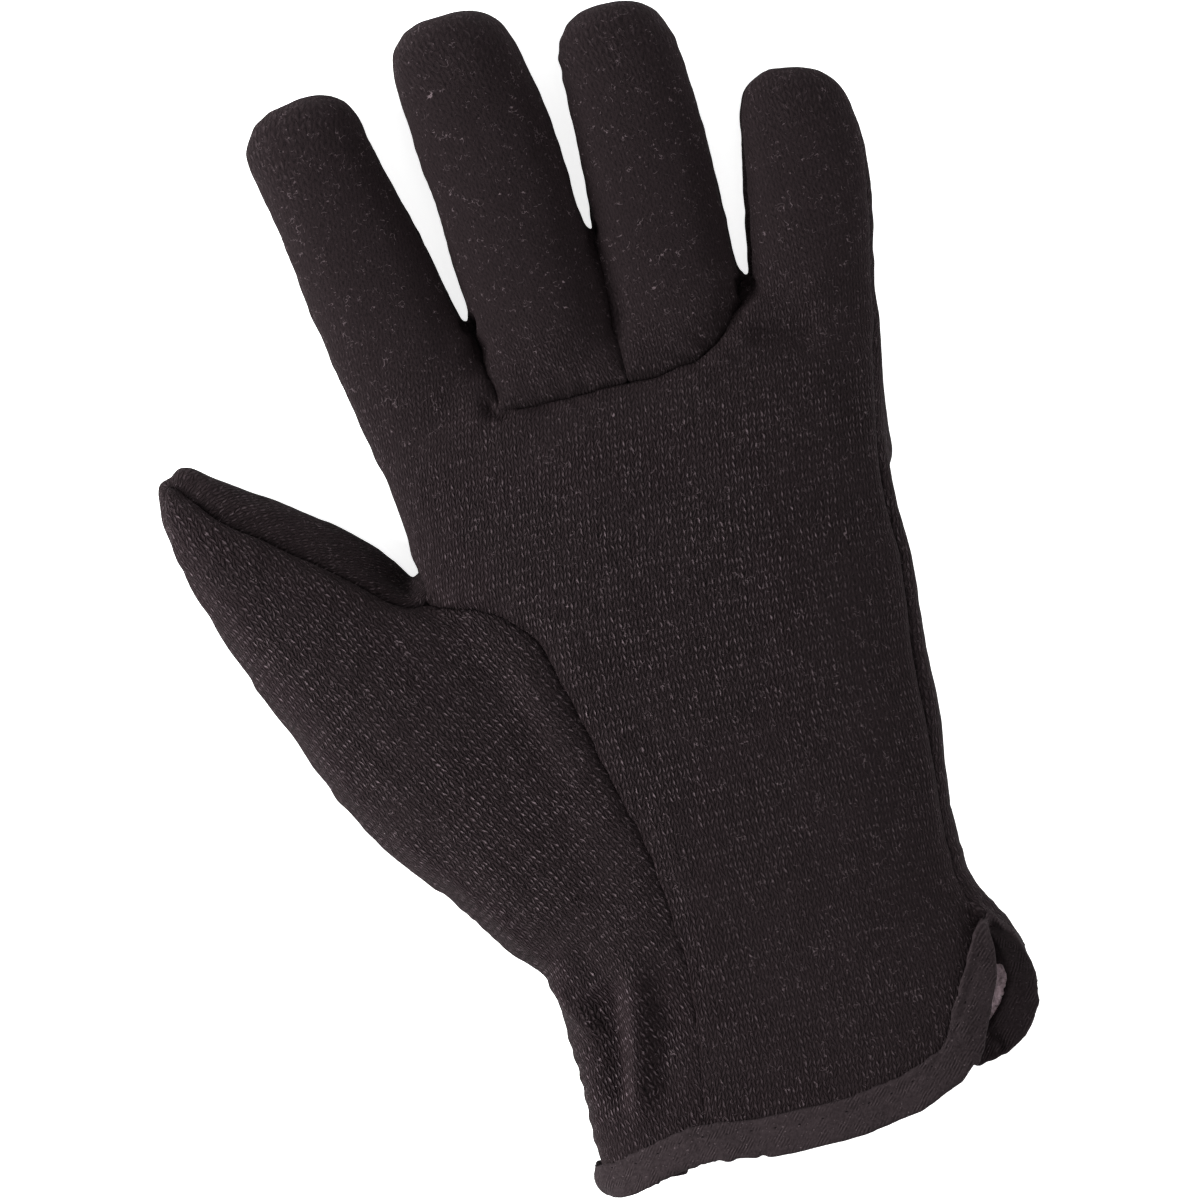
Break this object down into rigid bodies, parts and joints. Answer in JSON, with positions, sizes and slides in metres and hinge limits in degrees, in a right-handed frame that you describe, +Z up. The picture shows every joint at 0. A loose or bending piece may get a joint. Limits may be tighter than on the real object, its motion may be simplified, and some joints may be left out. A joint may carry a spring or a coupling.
{
  "type": "cotton work glove",
  "caption": "Left-hand jersey work glove with a fleece lining, a wing thumb, set-in finger fronts and a bound slip-on cuff with a side vent.",
  "frame": {"origin": "on the floor under the middle of the glove's box", "axes": "+Y from the cuff to the fingertips, the thumb on the -X side, +Z up out of the palm"},
  "size_m": [0.169, 0.2624, 0.041],
  "materials": {
    "jersey": "napped knit, dark brown black",
    "fleece": "brushed fleece, pinkish grey",
    "binding": "woven tape, matt dark brown"
  },
  "bodies": {
    "root": {"palm_panel": "jersey", "middle_finger_front": "jersey", "ring_finger_front": "jersey", "back_panel": "jersey", "thumb_front": "jersey", "thumb_back": "jersey", "cuff_lining": "fleece", "cuff_binding": "binding"}
  },
  "joints": []
}
